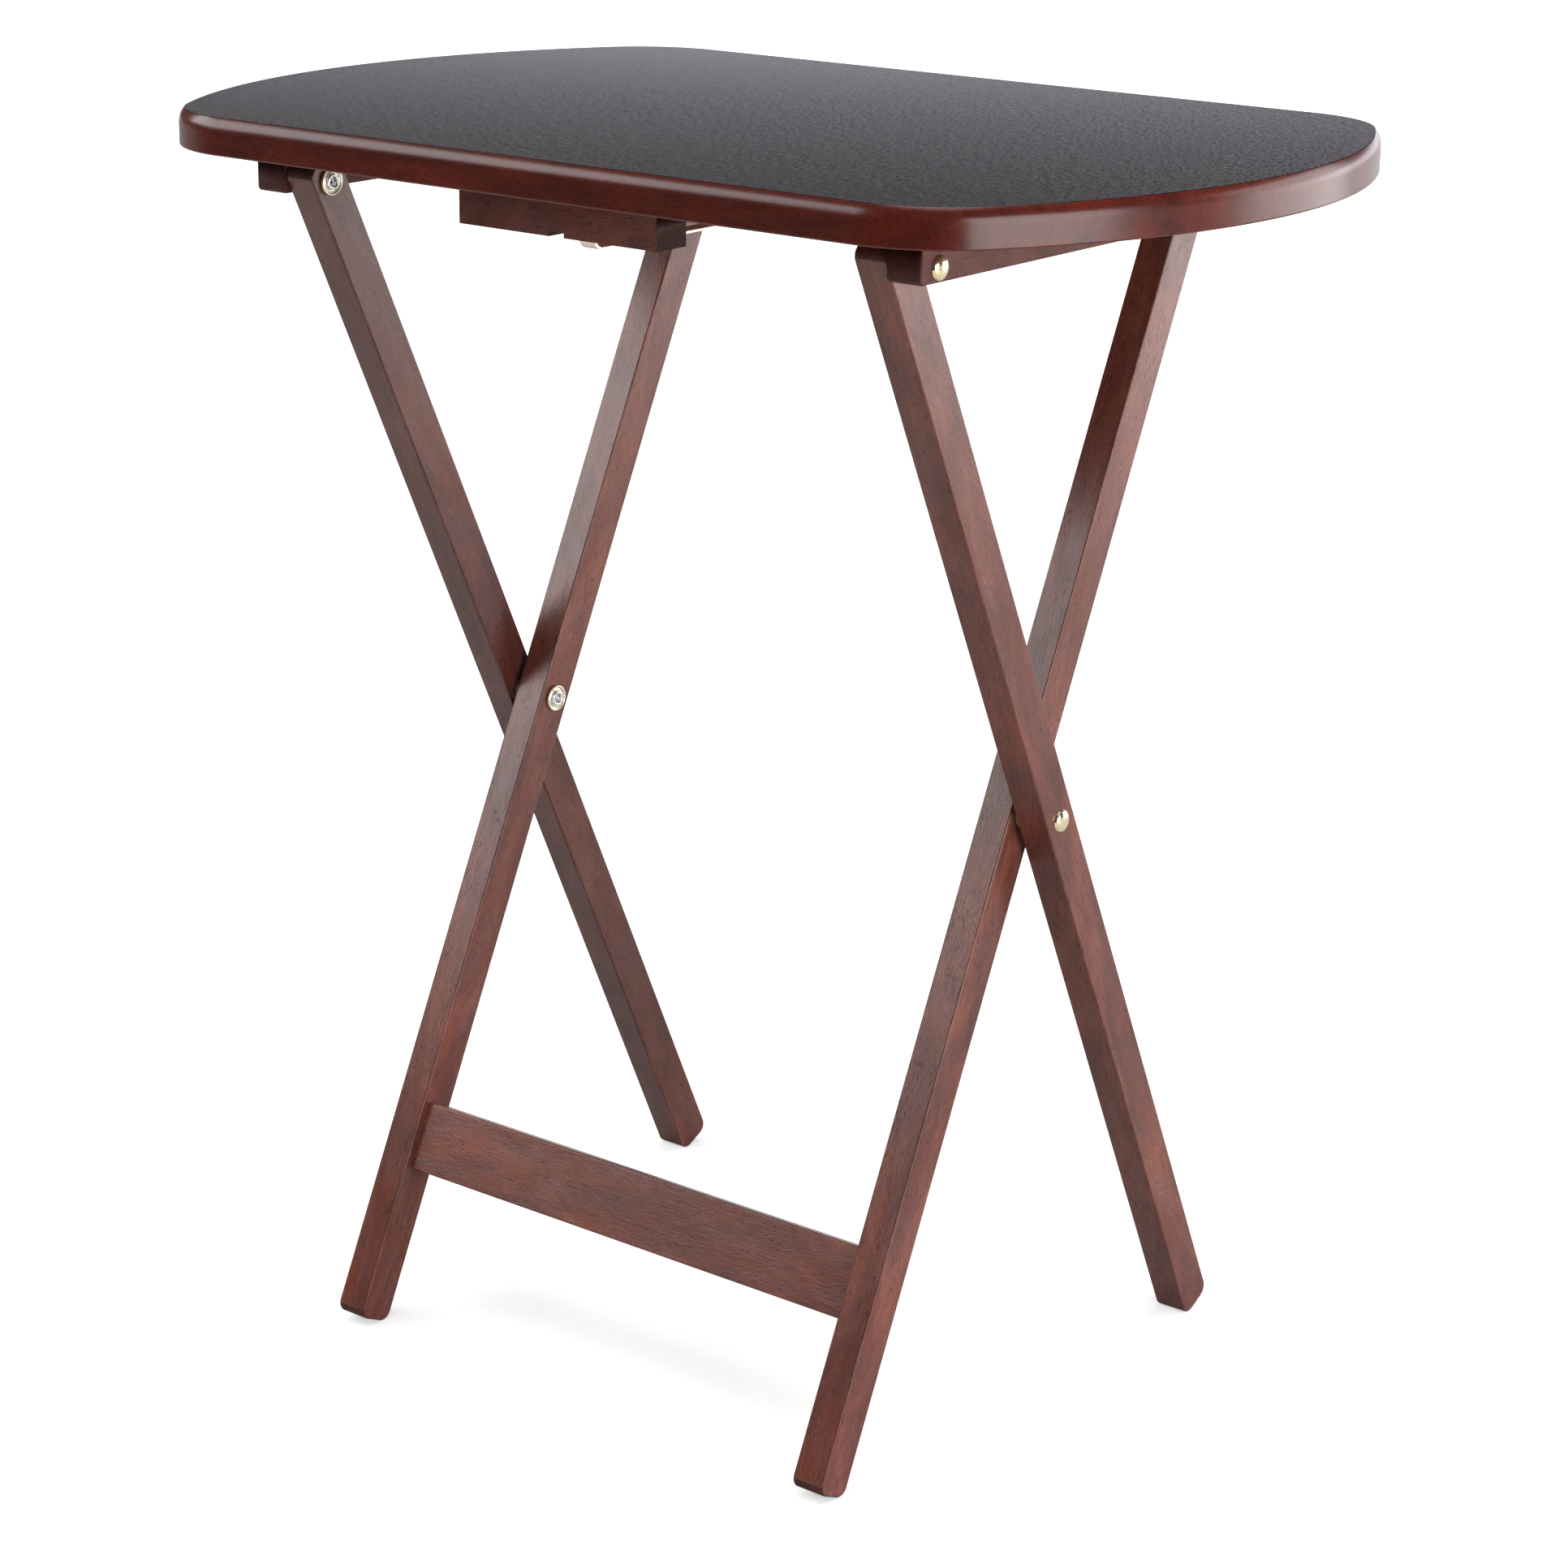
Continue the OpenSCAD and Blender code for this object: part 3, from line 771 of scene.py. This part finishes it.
def floor():
    """A pale sweep that runs far back behind the table and ends a little way in front."""
    mesh = bmesh.new()
    corners = [
        (-FLOOR_HALF, FLOOR_FRONT, 0), (FLOOR_HALF, FLOOR_FRONT, 0),
        (FLOOR_HALF, FLOOR_BACK, 0), (-FLOOR_HALF, FLOOR_BACK, 0),
    ]
    mesh.faces.new([mesh.verts.new(corner) for corner in corners])
    made = finish_mesh(mesh, "floor")
    dress(made, pale_floor())


# Brightness against height on the dome, where 0.5 is the horizon and 1 is overhead.
DOME = [(0.0, 0.004), (0.49, 0.004), (0.50, 0.07), (0.55, 0.014), (0.92, 0.03), (0.965, 0.95), (1.0, 1.00)]
GLOW = [(0.49, (0.58, 0.57, 0.64)), (0.540, (0.58, 0.57, 0.64)), (0.560, 0.0)]
GLOW_HEADING = (-0.087, 0.996, 0.0)
DOME_STRENGTH = 3.5
SEEN_BACKDROP = (0.28, 0.28, 0.28)


def studio_light():
    """A dome that is bright overhead and low down behind, and pale where it is seen directly."""
    world = bpy.data.worlds.new("studio")
    bpy.context.scene.world = world
    world.use_nodes = True
    tree = world.node_tree
    shader = tree.nodes["Background"]
    coords = add(tree, "ShaderNodeTexCoord").outputs["Generated"]
    height = add(tree, "ShaderNodeSeparateXYZ", {"Vector": coords}).outputs["Z"]
    level = add(tree, "ShaderNodeMapRange", {"Value": height, "From Min": -1.0, "From Max": 1.0})
    dome = ramp(tree, level.outputs["Result"], DOME)
    low_glow = ramp(tree, level.outputs["Result"], GLOW)
    toward_back = add(
        tree, "ShaderNodeVectorMath", {0: coords, 1: GLOW_HEADING}, operation="DOT_PRODUCT"
    ).outputs["Value"]
    behind = ramp(tree, toward_back, [(0.55, 0.0), (0.90, 1.0)])
    glow = mix(tree, 1.0, low_glow, behind, "MULTIPLY")
    light = mix(tree, 1.0, dome, glow, "ADD")
    seen = add(tree, "ShaderNodeLightPath").outputs["Is Camera Ray"]
    tree.links.new(mix(tree, seen, light, SEEN_BACKDROP), shader.inputs["Color"])
    shader.inputs["Strength"].default_value = DOME_STRENGTH


def softbox(name, place, size, brightness):
    """A soft panel that faces the middle of the table. brightness is its radiance."""
    light = bpy.data.lights.new(name, "AREA")
    light.shape = "RECTANGLE"
    light.size, light.size_y = size
    light.energy = brightness * math.pi * size[0] * size[1]
    made = bpy.data.objects.new(name, light)
    made.location = place
    made.rotation_euler = (TABLE_MIDDLE - Vector(place)).to_track_quat("-Z", "Y").to_euler()
    made.visible_camera = False
    bpy.context.scene.collection.objects.link(made)


CAMERA_PLACE = Vector((1.174, -1.497, 0.916))
CAMERA_TURN = (math.radians(37.87), math.radians(16.4), math.radians(0.62))
LENS = 85.9
SHIFT_Y = -0.06


def camera():
    """The photographer's standpoint: to the right of the front, a little above the tray."""
    yaw, pitch, roll = CAMERA_TURN
    data = bpy.data.cameras.new("camera")
    data.lens = LENS
    data.sensor_width = 36
    data.shift_y = SHIFT_Y
    made = bpy.data.objects.new("camera", data)
    turn = (
        Euler((0, 0, yaw)).to_matrix()
        @ Euler((math.pi / 2 - pitch, 0, 0)).to_matrix()
        @ Euler((0, 0, roll)).to_matrix()
    )
    made.matrix_world = Matrix.Translation(CAMERA_PLACE) @ turn.to_4x4()
    bpy.context.scene.collection.objects.link(made)
    bpy.context.scene.camera = made


floor()
studio_light()
softbox("front_left_box", (-2.215, -1.439, 1.70), (2.6, 1.24), 4.8)
softbox("back_right_box", (1.31, 2.01, 0.80), (1.6, 1.56), 2.8)
softbox("right_box", (2.46, -0.43, 0.75), (2.0, 1.4), 5.8)
camera()
bpy.context.scene.view_settings.view_transform = "Standard"
